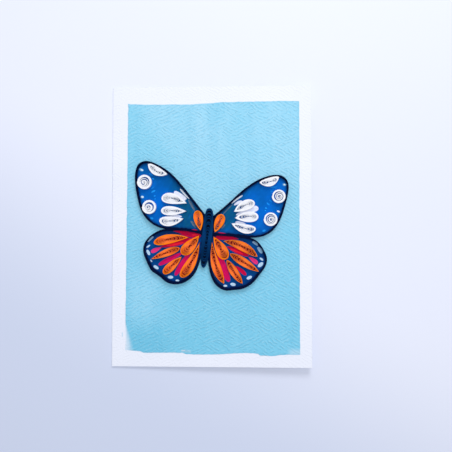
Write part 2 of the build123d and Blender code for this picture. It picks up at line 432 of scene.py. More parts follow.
def rolled_strip(name, material, slot, seed):
    """A strip of thin paper on edge, rolled from the outside of a petal in to its open eye.

    Each turn lies inside the one before it by four insets, for its two ends and its two sides. They
    grow by the paper and a little air while the turns are packed, and then evenly, with a slow wave
    that makes some gaps wider, so that each reaches the eye at the last turn. At a pinched end they
    grow faster while packed, as the papers gather there, and the loose turns are folded blunt. A
    disc has a hollow between its packed turns and its loose ones. Seen from above, the paper fills
    a share of the spacing, as strips that lean and spread do. The strip is a thin rectangle carried
    along that spiral. In the loose turns its foot lies further in than its top edge, which dips
    towards the eye and rises and falls a little on its way.
    """
    petal = petals[name]
    width = petal[2]
    packed_turns, loose_turns, eye_share, eye_side = rolls[name]
    rng = np.random.default_rng(seed)
    length = petal_axis(petal)[0]
    pointedness = np.array(petal[3:5]) - 0.5
    stretches = np.ones(4)
    stretches[:2] += tip_gather * np.abs(pointedness)
    eye_length = eye_width + eye_stretch * (length - width)
    paper = quilling_paper
    if name == "body":
        stretches[:2] = body_tip_gather
        eye_length = body_eye_length
        paper = body_paper
    eye_half = eye_width / 2 if slot == "white_strip" else eye_share_of_width * width / 2 + eye_margin
    totals = np.array([
        eye_share * length - eye_length / 2,
        (1 - eye_share) * length - eye_length / 2,
        width / 2 - eye_half - eye_side,
        width / 2 - eye_half + eye_side,
    ])

    turns = packed_turns + loose_turns
    count = int(stations_per_turn * turns) + 1
    turn = np.linspace(0, turns, count)
    in_loose = np.maximum(turn - packed_turns, 0)
    wave = 2 * np.pi * gap_waves_per_turn
    phase = rng.uniform(0, 2 * np.pi)
    uneven = gap_unevenness * np.array([1, 1, name in hollows, name in hollows])
    loose = uneven * (np.sin(wave * in_loose + phase) - np.sin(phase))[:, None] / wave
    loose += in_loose[:, None]
    loose /= loose[-1]
    hollow = np.array(hollows.get(name, (0.0, 0.0, 0.0, 0.0)))
    opened = np.clip(in_loose / loosening, 0, 1)
    opened = (opened * opened * (3 - 2 * opened))[:, None]
    pitch = paper + turn_air
    packed = (np.minimum(turn, packed_turns) * pitch)[:, None] * stretches
    grown = packed + loose * (totals - packed_turns * pitch * stretches - hollow)
    insets = grown + opened * hollow
    growth = np.gradient(grown, turn, axis=0)

    if name == "body":
        fold = body_fold
        folds = np.stack([loose[:, 0] ** body_fold_power, 0 * turn])
        thick = np.broadcast_to(paper * stretches, insets.shape)
    else:
        fold = petal_fold
        folds = opened[:, 0] * np.clip(pointedness / pinch_range, 0, 1)[:, None]
        thick = paper * (1 + (stretches - 1) * (1 - opened))
    if name in hollows:
        thick = np.maximum(thick, disc_fill * growth)
    else:
        thick = np.concatenate([thick[:, :2], side_fill * growth[:, 2:]], 1)

    angle = 2 * np.pi * turn
    foot = opened * foot_lean
    outer_foot, outer, inner, inner_foot = (
        petal_turn(petal, angle, *inset.T, folds, fold)
        for inset in (insets + foot, insets, insets + thick, insets + thick + foot)
    )
    top = strip_width - eye_dip * (turn / turns) ** 2
    top = top + top_waver * np.sin(top_waver_rate * turn + rng.uniform(0, 6))
    top = np.minimum(top, strip_width) + backing_paper
    corners = ((outer_foot, backing_paper), (outer, top), (inner, top), (inner_foot, backing_paper))
    points = np.stack([on_leaf(line, out) for line, out in corners], 1).reshape(-1, 3)
    last = 4 * (count - 1)
    caps = np.array([[0, 1, 2, 3], [last + 3, last + 2, last + 1, last]])
    quads = np.concatenate([grid_faces(count, 4), caps])
    heights = np.tile([0.0, strip_width, strip_width, 0.0], count)
    uv = np.stack([np.repeat(travelled_along(outer), 4), heights], 1)
    numbers = {"inward": np.repeat(in_loose / loose_turns, 4)}
    add_piece(name, points, quads, [material], [f"{name}_coil"], uv, numbers)


def inside_body(line, clearance):
    """True for points within a clearance of the body's rolled strip, by its half width at each share."""
    first, other, width, first_power, other_power, bow = petals["body"]
    length, axis, left = petal_axis(petals["body"])
    run = (line - np.array(first)) @ axis
    along = np.clip(run / length, 0, 1)
    half = width / 2 * petal_fullness(along, first_power, other_power) + clearance
    sideways = (line - np.array(first)) @ left - bowed_by(bow, along)
    return (np.abs(sideways) < half) & (run > -clearance) & (run < length + clearance)


def wing_outline(wing, material):
    """Black strips glued side by side on edge round a wing, as one profile carried along its line.

    The profile is a rectangle with two small grooves in its top, where one strip ends and the next
    begins. It follows the wing's line square to it, from one side of the body to the other.
    """
    line = smooth_line(wings[wing], outline_points)
    outside = np.flatnonzero(~inside_body(line, strip_clearance + end_slack))
    line = line[outside[0]:outside[-1] + 1]
    half = outline_thickness / 2
    left_groove, right_groove = (
        (place - groove_half_width, place, place + groove_half_width) for place in (-half / 3, half / 3)
    )
    bevel = half - top_softening
    across = np.array([-half, -half, -bevel, *left_groove, *right_groove, bevel, half, half])
    low = backing_paper
    top = backing_paper + strip_width
    groove = (top, top - groove_depth, top)
    shoulder = top - top_softening
    out = np.array([low, shoulder, top, *groove, *groove, top, shoulder, low])
    places = line[:, None, :] + right_of(line)[:, None, :] * across[:, None]
    points = on_leaf(places, out).reshape(-1, 3)
    count = len(line)
    quads = grid_faces(count, len(across))
    rim = np.arange(len(across))
    halves = np.stack([rim[:5], rim[1:6], rim[::-1][1:6], rim[::-1][:5]], 1)
    last = (count - 1) * len(across)
    quads = np.concatenate([quads[:, ::-1], halves[:, ::-1], last + halves])
    travelled = np.linspace(0, travelled_along(line)[-1], count)
    uv = np.stack([np.repeat(travelled, len(across)), np.tile(out, count)], 1)
    add_piece(f"{wing}_edging", points, quads, [material], [f"{wing}_outline"], uv)


def filled_rings(centre, edge, reach, height):
    """Points and faces of a flat patch with a wall: rings of points from a centre out to an edge.

    A ring at a share r of the way is centre + r (edge - centre). A wall goes down from the last
    ring. Fans of triangles close the middle of the top and the whole underside. The rings' places
    on the leaf come back first.
    """
    rings = centre + reach[:, None, None] * (edge - centre)
    count = len(edge)
    pole = (len(reach) + 1) * count
    points = np.concatenate([
        on_leaf(rings.reshape(-1, 2), height),
        on_leaf(rings[-1], cutout_foot),
        on_leaf(centre[None], height),
        on_leaf(centre[None], cutout_foot),
    ])
    quads = grid_faces(len(reach) + 1, count)
    near = np.arange(count)
    next_near = (near + 1) % count
    foot = len(reach) * count
    triangles = np.concatenate([
        np.stack([np.full(count, pole), near, next_near], 1),
        np.stack([np.full(count, pole + 1), foot + next_near, foot + near], 1),
    ])
    return rings.reshape(-1, 2), points, quads, triangles


def wing_patch(wing, height):
    """Points, faces and named values of one wing of the painted cut-out.

    Its edge lies outside the strip's line by half the strip and a margin. from_edge is the distance
    in millimetres to the strip's line, and round_wing the share of the way round it.
    """
    line = smooth_line(wings[wing], wing_edge_points)
    on_left = wing.startswith("left")
    outward = right_of(line) * (1 if on_left else -1)
    edge = line + outward * (outline_thickness / 2 + backing_margin)
    flat, points, quads, triangles = filled_rings(np.array(wing_centres[wing]), edge, wing_rings, height)
    if not on_left:
        quads = quads[:, ::-1]
        triangles = triangles[:, ::-1]
    gaps = np.linalg.norm(flat[:, None, :] - line[None, ::2, :], axis=2)
    wall_and_poles = np.zeros(len(edge) + 2)
    numbers = {
        "from_edge": np.concatenate([gaps.min(1), wall_and_poles]),
        "round_wing": np.concatenate([gaps.argmin(1) / gaps.shape[1], wall_and_poles]),
    }
    return (points, quads, triangles), numbers


def body_patch(height):
    """Points and faces of the painted cut-out's part under the body, a little inside its outline."""
    rim = petal_turn(petals["body"], np.linspace(0, 2 * np.pi, body_edge_points, endpoint=False))
    return filled_rings(rim.mean(0), rim, body_rings, height)[1:]


def painted_cutout(paints):
    """The butterfly cut from painted paper: a patch for each wing and one for the body, as one piece.

    Its paints are the forewings', the hindwings' and the body's.
    """
    forewings = [wing_patch(wing, forewing_top) for wing in wings if "forewing" in wing]
    hindwings = [wing_patch(wing, hindwing_top) for wing in wings if "hindwing" in wing]
    body = body_patch(body_top)
    nothing = np.zeros(len(body[0]))
    patches = [part for part, numbers in forewings + hindwings] + [body]
    points, quads, triangles = joined(patches)
    paint_of_patch = [0, 0, 1, 1, 2]
    quad_paints = np.repeat(paint_of_patch, [len(patch[1]) for patch in patches])
    triangle_paints = np.repeat(paint_of_patch, [len(patch[2]) for patch in patches])
    numbers = {
        key: np.concatenate([numbers[key] for part, numbers in forewings + hindwings] + [nothing])
        for key in ("from_edge", "round_wing")
    }
    add_piece(
        "painted_butterfly", points, quads, paints, ["butterfly_backing"],
        numbers=numbers, face_materials=np.concatenate([quad_paints, triangle_paints]),
        triangles=triangles,
    )


def paint_mark(mark, out):
    """Points, faces and uv of one dab of paint, a low dome with a petal's outline.

    At a share r of the way from the outline's middle line to the outline, the paint is as high as
    its thickness times 1 - r^6, so that it is flat on top and falls off at its edge. Points at
    opposite angles are joined across the middle line, and across the flat underside.
    """
    angle = np.linspace(0, 2 * np.pi, mark_points, endpoint=False)
    rim = petal_turn(mark, angle)
    spine = petal_turn(mark, angle, 0.0, 0.0, mark[2] / 2, mark[2] / 2)
    places = spine + mark_rings[:, None, None] * (rim - spine)
    dome = paint_thickness * (1 - mark_rings**6)
    points = on_leaf(places, out + dome[:, None]).reshape(-1, 3)

    half = mark_points // 2
    near = np.arange(1, half - 1)
    across = np.stack([near, near + 1, mark_points - 1 - near, mark_points - near], 1)
    ends = np.array([[0, 1, mark_points - 1], [half - 1, half, half + 1]])
    last = (len(mark_rings) - 1) * mark_points
    quads = [grid_faces(len(mark_rings), mark_points), across, across[:, ::-1] + last]
    triangles = [ends, ends[:, ::-1] + last]

    along = np.clip((1 - np.cos(angle)) / 2, 0, 1)
    sideways = np.where(np.sin(angle) >= 0, -1, 1) * mark_rings[:, None] * mark[2] / 2
    sideways = sideways * petal_fullness(along, mark[3], mark[4])
    lengthways = np.broadcast_to(along * petal_axis(mark)[0], sideways.shape)
    uv = np.stack([lengthways, sideways], 2).reshape(-1, 2)
    return (points, np.concatenate(quads), np.concatenate(triangles)), uv


def paint_marks(name, marks, material, layer):
    """Dabs and strokes of thick paint as one piece, each a little higher than the one before it.

    Each mark's uv is moved on by a step, so that no two show the same streaks.
    """
    parts, uvs = [], []
    for index, mark in enumerate(marks):
        part, uv = paint_mark(mark, backing_paper + layer + paint_step * index)
        parts.append(part)
        uvs.append(uv + index * streak_step)
    points, quads, triangles = joined(parts)
    add_piece(
        name, points, quads, [material], uv=np.concatenate(uvs), triangles=triangles
    )


def folded_sheet(inside_paper, front_paper):
    """The folded card: the outline of its paper in section, carried from its lower edge to its upper.

    The section follows the outside of the back leaf, the fold and the front leaf, then comes back
    along the inside. Its cut edges are rounded a little, also at the two ends of the sweep.
    """
    fold_angle = np.linspace(0, np.pi - leaf_gape, fold_points)
    leaf_length = card_width - fold_outside_radius

    def face(radius):
        """One face of the paper in section, from the back leaf's free edge to the front leaf's."""
        along_back = np.linspace(card_width / 2, fold_axis[0], leaf_points)
        back = np.stack([along_back, np.full(leaf_points, fold_axis[2] - radius)], 1)
        round_fold = np.stack([np.sin(fold_angle), np.cos(fold_angle)], 1)
        turn = fold_axis[[0, 2]] - radius * round_fold
        front = turn[-1] + np.linspace(0, leaf_length, leaf_points)[1:, None] * leaf_across[[0, 2]]
        return np.concatenate([back[:-1], turn, front])

    outside = face(fold_outside_radius)
    inside = face(fold_inside_radius)
    middle = face(fold_inside_radius + card_paper / 2)

    def section(shrink):
        """Closed outline of the paper in section, drawn in towards its middle by a small step."""
        share = 1 - shrink / (card_paper / 2)
        outer = middle + (outside - middle) * share
        inner = middle + (inside - middle) * share
        noses = []
        for end, before in ((-1, -2), (0, 1)):
            inward = middle[before] - middle[end]
            inward = inward / np.linalg.norm(inward)
            outer[end] += inward * (cut_edge_rounding + shrink)
            inner[end] += inward * (cut_edge_rounding + shrink)
            noses.append((middle[end] + inward * shrink)[None])
        return np.concatenate([outer, noses[0], inner[::-1], noses[1]])

    half_height = card_height / 2
    end_shrink = 1.6 * cut_edge_rounding
    softened = half_height - cut_edge_rounding
    between = np.linspace(1 - half_height, half_height - 1, sheet_stations)
    places = np.concatenate([[-half_height, -softened], between, [softened, half_height]])
    shrinks = np.zeros(len(places))
    shrinks[[0, -1]] = end_shrink
    rows = np.stack([section(shrink) for shrink in shrinks])
    count = rows.shape[1]
    points = np.stack([rows[..., 0], np.broadcast_to(places[:, None], rows.shape[:2]), rows[..., 1]], 2)
    points = points.reshape(-1, 3) * MM

    edge = len(outside)
    across = np.arange(edge - 1)
    opposite = 2 * edge - across
    cap = np.stack([across, across + 1, opposite - 1, opposite], 1)
    nose = np.array([[edge - 1, edge, edge + 1], [0, 2 * edge, 2 * edge + 1]])
    last = (len(places) - 1) * count
    quads = np.concatenate([grid_faces(len(places), count), cap, last + cap[:, ::-1]])
    triangles = np.concatenate([nose, last + nose[:, ::-1]])

    column = np.tile(np.arange(count), len(places) - 1)
    is_front = (column >= edge - leaf_points) & (column < edge - 1)
    plain_ends = np.zeros(2 * len(cap) + 2 * len(nose), int)
    add_piece(
        "card_sheet", points, quads[:, ::-1], [inside_paper, front_paper],
        ["folded_card"], face_materials=np.concatenate([is_front, plain_ends]),
        triangles=triangles[:, ::-1],
    )


def srgb(red, green, blue):
    """A colour given in 0 to 255 as it looks on a screen, as linear light for a shader."""
    c = np.array([red, green, blue]) / 255
    linear = np.where(c <= 0.04045, c / 12.92, ((c + 0.055) / 1.055) ** 2.4)
    return (*linear.tolist(), 1.0)


class Finish:
    """A material whose nodes are added one by one, each joined to the sockets that it is given."""

    def __init__(self, name, roughness):
        """A new material of one roughness, with hardly any shine."""
        self.material = bpy.data.materials.new(name)
        self.material.use_nodes = True
        self.nodes = self.material.node_tree.nodes
        self.links = self.material.node_tree.links
        self.shader = self.nodes["Principled BSDF"]
        self.shader.inputs["Roughness"].default_value = roughness
        self.shader.inputs["Specular IOR Level"].default_value = 0.03

    def give(self, socket, value):
        """Joins a socket to another one, or sets it to a plain value."""
        if isinstance(value, bpy.types.NodeSocket):
            self.links.new(value, socket)
        else:
            socket.default_value = value

    def add(self, kind, settings=None, **inputs):
        """Adds a node. Inputs are named, or numbered as in_0, and are sockets or plain values."""
        node = self.nodes.new(kind)
        for key, value in (settings or {}).items():
            setattr(node, key, value)
        for key, value in inputs.items():
            which = int(key[3:]) if key.startswith("in_") else key.replace("_", " ")
            self.give(node.inputs[which], value)
        return node

    def math(self, operation, *numbers, clamp=False):
        """One arithmetic step on numbers."""
        node = self.add("ShaderNodeMath", {"operation": operation, "use_clamp": clamp})
        for socket, number in zip(node.inputs, numbers):
            self.give(socket, number)
        return node.outputs[0]

    def plus(self, first, second):
        """The sum of two numbers."""
        return self.math("ADD", first, second)

    def minus(self, first, second):
        """The first number less the second."""
        return self.math("SUBTRACT", first, second)

    def times(self, first, second):
        """The product of two numbers."""
        return self.math("MULTIPLY", first, second)

    def line(self, value, slope, start):
        """A value times a slope, plus a start."""
        return self.math("MULTIPLY_ADD", value, slope, start)

    def ease(self, value, low, high):
        """0 at low and beyond, 1 at high and beyond, and a smooth step between them."""
        node = self.add("ShaderNodeMapRange", {"interpolation_type": "SMOOTHSTEP"}, Value=value)
        node.inputs["From Min"].default_value = low
        node.inputs["From Max"].default_value = high
        return node.outputs["Result"]

    def around(self, value, middle, far, close):
        """1 as near to a middle as close or nearer, 0 as far from it as far, and smooth between them."""
        return self.ease(self.math("ABSOLUTE", self.plus(value, -middle)), far, close)

    def mix(self, share, first, second, blend="MIX"):
        """A colour between two colours."""
        node = self.add("ShaderNodeMix", {"data_type": "RGBA", "blend_type": blend})
        for index, value in ((0, share), (6, first), (7, second)):
            self.give(node.inputs[index], value)
        return node.outputs[2]

    def tint(self, base, where, strength, colour):
        """A colour laid over another: by a strength where a mask is 1, and not at all where it is 0."""
        return self.mix(self.times(where, strength), base, colour)

    def place(self, scale=(1000, 1000, 1000), turn=0.0):
        """Object coordinates, by default in millimetres, turned about Z first."""
        coordinates = self.add("ShaderNodeTexCoord").outputs["Object"]
        about_z = {"rotation_type": "Z_AXIS"}
        turned = self.add("ShaderNodeVectorRotate", about_z, Vector=coordinates, Angle=turn)
        return self.add("ShaderNodeMapping", Vector=turned.outputs[0], Scale=scale).outputs[0]

    def x_and_y(self):
        """The object's own x and y, in millimetres."""
        split = self.add("ShaderNodeSeparateXYZ", Vector=self.place())
        return split.outputs[0], split.outputs[1]

    def noise(self, vector, scale, detail=2.0, roughness=0.5):
        """Smooth noise from 0 to 1 at a scale in features per unit of its coordinates."""
        node = self.add(
            "ShaderNodeTexNoise", Vector=vector, Scale=scale, Detail=detail, Roughness=roughness
        )
        return node.outputs["Fac"]

    def stretched_noise(self, scale, detail=3.0, roughness=0.6, turn=0.0):
        """Smooth noise from 0 to 1 at a scale for each axis, in features per metre."""
        return self.noise(self.place(scale, turn), 1.0, detail, roughness)

    def wander(self, noise, size):
        """Noise from 0 to 1 as a number that lies about nothing, by half a size either way at most."""
        return self.times(self.minus(noise, 0.5), size)

    def number(self, name):
        """A named value that the mesh carries at each point."""
        return self.add("ShaderNodeAttribute", {"attribute_name": name}).outputs["Fac"]

    def strip_uv(self, scale):
        """The piece's own UV map in millimetres, scaled."""
        uv = self.add("ShaderNodeUVMap", {"uv_map": "strip"}).outputs[0]
        return self.add("ShaderNodeMapping", Vector=uv, Scale=scale).outputs[0]

    def fibres(self, scale):
        """Streaks along a strip or a stroke, as noise on its own UV map."""
        return self.noise(self.strip_uv(scale), 1.0, 3.0, 0.6)

    def colour(self, value):
        """Joins a colour to the shader as its base colour."""
        self.links.new(value, self.shader.inputs["Base Color"])

    def bump(self, height, distance, strength=1.0):
        """Raises the surface by a height from 0 to 1 times a distance in metres."""
        node = self.add("ShaderNodeBump", Height=height, Distance=distance, Strength=strength)
        self.links.new(node.outputs[0], self.shader.inputs["Normal"])


def rough_grain(finish):
    """Height of rough watercolour paper: two slanted sets of short crests, each in its own patches.

    The phase of a set is the height up the sheet plus or minus a share of the place across it, over
    the crests' spacing, moved about by slow noise. Noise picks the set, breaks its crests into
    short runs and lays finer tooth over them.
    """
    place = finish.place()
    x, y = finish.x_and_y()
    slow_drift = finish.wander(finish.noise(place, 0.11, 1.5), 3.4)
    up = finish.plus(finish.plus(y, slow_drift), finish.wander(finish.noise(place, 0.5, 1.5), 2.2))
    rising, falling = (
        finish.math("SINE", finish.times(finish.line(x, slope, up), 2 * np.pi / grain_rise))
        for slope in (grain_slope, -0.75 * grain_slope)
    )
    patches = finish.line(x, 0.0012, finish.noise(place, 0.14, 2.5, 0.6))
    which = finish.ease(patches, 0.47, 0.55)
    wave = finish.add("ShaderNodeMix", {"data_type": "FLOAT"}, in_0=which, in_2=falling, in_3=rising)
    broken = finish.ease(finish.stretched_noise((420, 620, 420), 1.5, 0.5), 0.33, 0.6)
    ridge = finish.line(finish.times(wave.outputs[0], broken), 0.42, 0.5)
    tooth = finish.noise(place, 1.3, 3.0, 0.62)
    return finish.line(tooth, 0.5, ridge)


def plain_watercolour_paper():
    """White rough paper: the inside, the back and the cut edges of the card."""
    finish = Finish("rough_white_paper", 0.9)
    shade = finish.noise(finish.place(), 0.04)
    finish.colour(finish.mix(shade, srgb(231, 236, 247), srgb(238, 242, 251)))
    finish.bump(rough_grain(finish), 0.0001)
    return finish.material


def washed_watercolour_paper():
    """The card's front: a light blue wash inside a white border, with uneven brushed edges.

    The wash covers a place by how far it lies inside each of four wavering edges. At the lower left
    corner that edge is wide and broken into dry brush streaks.
    """
    finish = Finish("washed_rough_paper", 0.86)
    x, y = finish.x_and_y()

    def waver(scale, size):
        """A sideways wander of an edge, in millimetres."""
        return finish.wander(finish.stretched_noise(scale), size)

    def steps(points):
        """A brushed edge's height at each place across, from a few points: (share across, share up)."""
        share = finish.add("ShaderNodeMapRange", Value=x, From_Min=wash_left, From_Max=wash_right)
        curve = finish.add("ShaderNodeFloatCurve", Value=share.outputs[0])
        line = curve.mapping.curves[0]
        line.points[0].location = points[0]
        line.points[1].location = points[-1]
        for point in points[1:-1]:
            line.points.new(*point)
        curve.mapping.update()
        return curve.outputs[0]

    # How far a place lies inside the wash's four edges
    top_steps = steps([(0.0, 0.95), (0.31, 0.15), (0.49, 0.45), (0.565, 0.7), (1.0, 0.85)])
    low_steps = steps([
        (0.0, 0.98), (0.09, 0.86), (0.12, 0.54), (0.33, 0.54), (0.355, 0.22), (0.5, 0.22), (0.68, 0.6),
        (0.75, 0.44), (0.77, 0.04), (0.83, 0.04), (0.88, 0.25), (1.0, 0.29),
    ])
    upper = finish.line(top_steps, wash_top_rise, wash_top)
    lower = finish.line(low_steps, wash_foot_rise, wash_foot)
    below_top = finish.minus(upper, finish.plus(y, waver((160, 20, 20), 0.9)))
    above_foot = finish.minus(finish.plus(y, waver((230, 20, 20), 1.0)), lower)
    from_right = finish.minus(55.8, finish.plus(x, waver((20, 190, 20), 1.1)))
    from_left = finish.plus(finish.plus(x, waver((20, 170, 20), 1.0)), finish.line(y, -0.009, 54.1))
    inside = finish.math(
        "MINIMUM",
        finish.math("MINIMUM", below_top, above_foot),
        finish.math("MINIMUM", from_right, from_left),
    )
    crisp = finish.ease(inside, -0.12, 0.22)

    # Where the brush ran dry: streaks at the lower left, a thin corner, a missed place and a stray touch
    streaks = finish.stretched_noise((1100, 90, 1000), 3.0, 0.65)
    feather_width = finish.line(finish.ease(y, -57.0, -80.0), 5.6, 0.2)
    across_feather = finish.math("DIVIDE", finish.plus(x, 54.9), feather_width)
    feather = finish.times(finish.ease(across_feather, 1.1, 0.1), finish.ease(y, -57.0, -66.0))
    dry = finish.times(feather, finish.line(streaks, -0.9, 1.15))
    thin_corner = finish.times(finish.ease(x, 47.0, 51.0), finish.ease(y, -75.5, -79.5))
    missed_across = finish.times(finish.ease(x, -19.6, -18.4), finish.ease(x, -12.4, -13.8))
    missed_along = finish.times(finish.ease(y, -80.2, -79.7), finish.ease(y, -77.9, -79.0))
    flecks = finish.ease(finish.stretched_noise((300, 2600, 1000), 2.0, 0.5), 0.4, 0.62)
    missed = finish.times(finish.times(missed_across, missed_along), flecks)
    dry = finish.math("MAXIMUM", dry, finish.math("MAXIMUM", finish.times(thin_corner, 0.3), missed))
    stray = finish.times(finish.around(x, -56.6, 0.55, 0.1), finish.around(y, -68.9, 2.0, 0.8))
    covered = finish.math("SUBTRACT", crisp, dry, clamp=True)
    covered = finish.math("MAXIMUM", covered, finish.times(stray, 0.4))

    # The wash's colour, deeper towards its foot and at its edges
    wash = finish.mix(finish.ease(y, 88.0, -84.0), srgb(166, 220, 242), srgb(122, 202, 230))
    clouds = finish.ease(finish.stretched_noise((16, 9, 16)), 0.35, 0.75)
    wash = finish.mix(clouds, wash, srgb(136, 209, 235))
    light = finish.times(finish.around(x, -44.0, 22.0, 4.0), finish.around(y, -44.0, 26.0, 6.0))
    wash = finish.mix(light, wash, srgb(150, 214, 239))
    deep = finish.times(finish.ease(x, -10.0, -50.0), finish.ease(y, -62.0, -74.0))
    wash = finish.tint(wash, deep, 0.5, srgb(106, 190, 220))
    brushed = finish.stretched_noise((130, 12, 100), 2.0, 0.5)
    wash = finish.tint(wash, finish.ease(brushed, 0.45, 0.75), 0.22, srgb(110, 192, 224))
    wash = finish.tint(wash, finish.ease(inside, 1.6, 0.1), 0.16, srgb(96, 186, 218))

    # Paint settles in the grain's hollows, and the grain's crests are lightened as a painted highlight
    height = rough_grain(finish)
    wash = finish.tint(wash, finish.ease(height, 0.8, 0.3), 0.28, srgb(92, 186, 222))
    # Painted highlight on the grain's crests
    wash = finish.tint(wash, finish.ease(height, 0.8, 1.15), 0.18, srgb(190, 230, 246))
    paper = finish.mix(finish.noise(finish.place(), 0.04), srgb(233, 238, 248), srgb(239, 243, 252))
    finish.colour(finish.mix(covered, paper, wash))
    finish.bump(finish.times(height, finish.line(covered, 0.52, 0.4)), 0.00034)
    return finish.material


def quilling_paper_finish(
    name, rim_colour, shaded_inner_colour, gap_shade_colour, gap_shade_strength, painted_glow_colour, painted_glow_strength, roughness, fibre
):
    """Coloured paper strip on edge: fibres along the strip, and the loose turns painted a deeper colour,
    as painted shade and bounced light inside the coil.

    Its sides glow as painted light, which stands in for light that soaks into thin paper at its top
    edge: most just under the edge and none at its foot. Further down, the sides are painted darker
    towards a shade colour, as painted shade in the gaps between the turns.
    """
    finish = Finish(name, roughness)
    fibres = finish.fibres((1.2, 14.0, 1.0))
    speckle = finish.noise(finish.place(), 7.0, 2.0, 0.6)
    # Painted shade: the loose turns are coloured deeper than the rim, for the shade and bounced light
    # inside the coil
    inward = finish.ease(finish.number("inward"), 0.0, 0.35)
    base = finish.mix(inward, srgb(*rim_colour), srgb(*shaded_inner_colour))
    darker = finish.mix(1.0, base, srgb(215, 205, 205), "MULTIPLY")
    base = finish.tint(base, finish.ease(fibres, 0.4, 0.75), fibre * 4, darker)
    base = finish.mix(finish.times(speckle, fibre), base, base, "SCREEN")
    height = finish.add("ShaderNodeSeparateXYZ", Vector=finish.strip_uv((1, 1, 1))).outputs[1]
    # Painted shade: lower on the sides the colour turns towards a shade colour, as in the shaded gaps
    # between turns
    down = finish.ease(height, strip_width - 0.05, strip_width - 0.45)
    finish.colour(finish.tint(base, down, gap_shade_strength, srgb(*gap_shade_colour)))
    finish.bump(finish.plus(fibres, speckle), 0.00002, 0.7)
    # Painted light: the sides glow most just under the top edge and not at all at the foot
    under_edge = finish.ease(height, strip_width, strip_width - 0.06)
    above_foot = finish.ease(height, 0.6, strip_width - 0.3)
    painted_glow = finish.times(finish.times(under_edge, above_foot), painted_glow_strength)
    finish.links.new(painted_glow, finish.shader.inputs["Emission Strength"])
    finish.shader.inputs["Emission Color"].default_value = srgb(*painted_glow_colour)
    return finish.material


def edging_finish():
    """Black paper strips with a blue cast, patches of painted sheen and fine lint."""
    finish = Finish("black_edging_paper", 0.6)
    fibres = finish.fibres((0.8, 10.0, 1.0))
    # Painted highlight: noisy patches are lightened as a sheen
    painted_sheen = finish.ease(finish.noise(finish.place(), 1.1, 3.0, 0.65), 0.62, 0.85)
    base = finish.mix(fibres, srgb(0, 10, 48), srgb(2, 22, 62))
    finish.colour(finish.tint(base, painted_sheen, 0.3, srgb(20, 56, 92)))
    finish.bump(fibres, 0.00003, 0.8)
    return finish.material


def forewing_paint():
    """Saturated blue that turns to a dull teal near the body, with a black margin along the edge and
    a darker band just inside it that is painted shade from the strip's wall.
    """
    finish = Finish("forewing_blue_paint", 0.6)
    place = finish.place()
    x, y = finish.x_and_y()
    outward = finish.math("ABSOLUTE", finish.plus(x, 2.0))
    clouds = finish.stretched_noise((90, 90, 90))
    bright = finish.mix(finish.ease(clouds, 0.3, 0.7), srgb(0, 94, 178), srgb(0, 106, 208))
    upper = finish.ease(finish.minus(y, finish.times(outward, 0.55)), 1.0, 14.0)
    bright = finish.tint(bright, upper, 0.75, srgb(0, 84, 150))
    teal_clouds = finish.ease(finish.noise(place, 0.35, 3.0), 0.3, 0.7)
    teal = finish.mix(teal_clouds, srgb(0, 78, 134), srgb(8, 90, 128))
    base = finish.mix(finish.ease(finish.line(clouds, 8.0, outward), 33.0, 18.0), bright, teal)
    base = finish.tint(base, finish.ease(y, 2.0, -5.0), 0.75, srgb(2, 88, 172))
    strokes = finish.stretched_noise((500, 120, 300), turn=0.6)
    base = finish.tint(base, finish.ease(strokes, 0.5, 0.75), 0.25, srgb(4, 122, 216))
    edge = finish.line(finish.noise(place, 0.5), 0.9, finish.number("from_edge"))
    # Painted shade: darker within a few millimetres of the strip, blending into the black margin
    base = finish.tint(base, finish.ease(edge, 2.9, 1.2), 0.6, srgb(2, 50, 104))
    finish.colour(finish.mix(finish.ease(edge, 1.45, 1.0), base, srgb(0, 14, 58)))
    finish.bump(finish.noise(place, 3.0, 3.0), 0.00002, 0.6)
    return finish.material


def hindwing_paint():
    """Deep blue, lighter between the strokes, with a black margin that widens at the wing's foot,
    and painted shade inside the margin and along the wing's top by the seam strips.
    """
    finish = Finish("hindwing_blue_paint", 0.6)
    place = finish.place()
    y = finish.x_and_y()[1]
    clouds = finish.ease(finish.stretched_noise((110, 110, 110)), 0.3, 0.7)
    base = finish.mix(clouds, srgb(0, 58, 124), srgb(0, 78, 150))
    from_edge = finish.number("from_edge")
    round_wing = finish.number("round_wing")
    foot = finish.times(finish.ease(round_wing, 0.42, 0.56), finish.ease(round_wing, 0.92, 0.74))
    edge = finish.line(finish.noise(place, 0.45), 0.8, from_edge)
    inside = finish.minus(edge, finish.line(foot, 0.7, 0.85))
    along_edge = finish.add(
        "ShaderNodeCombineXYZ", X=finish.times(from_edge, 3.2), Y=finish.times(round_wing, 18.0)
    )
    lines = finish.ease(finish.noise(along_edge.outputs[0], 1.0), 0.5, 0.7)
    black = finish.tint(srgb(0, 14, 58), lines, 0.5, srgb(6, 52, 112))
    # Painted shade: darker near the edge strip and along the wing's top beside the seam
    shade = finish.times(finish.ease(inside, 1.8, 0.3), 0.4)
    painted_shade_at_top = finish.times(finish.ease(y, -12.0, -5.0), 0.6)
    base = finish.mix(finish.math("MAXIMUM", shade, painted_shade_at_top), base, srgb(4, 30, 84))
    finish.colour(finish.mix(finish.ease(inside, 0.65, -0.1), base, black))
    finish.bump(finish.noise(place, 3.0, 3.0), 0.00002, 0.6)
    return finish.material


def brushed_paint(name, thin_colour, thick_colour):
    """Opaque paint laid on in one stroke: streaks along it, between a thinner and a thicker colour."""
    finish = Finish(name, 0.6)
    streaks = finish.fibres((0.25, 2.2, 1.0))
    mottle = finish.noise(finish.place(), 1.4)
    share = finish.ease(finish.line(mottle, 0.35, streaks), 0.5, 0.85)
    finish.colour(finish.mix(share, srgb(*thin_colour), srgb(*thick_colour)))
    finish.bump(streaks, 0.00003, 0.6)
    return finish.material


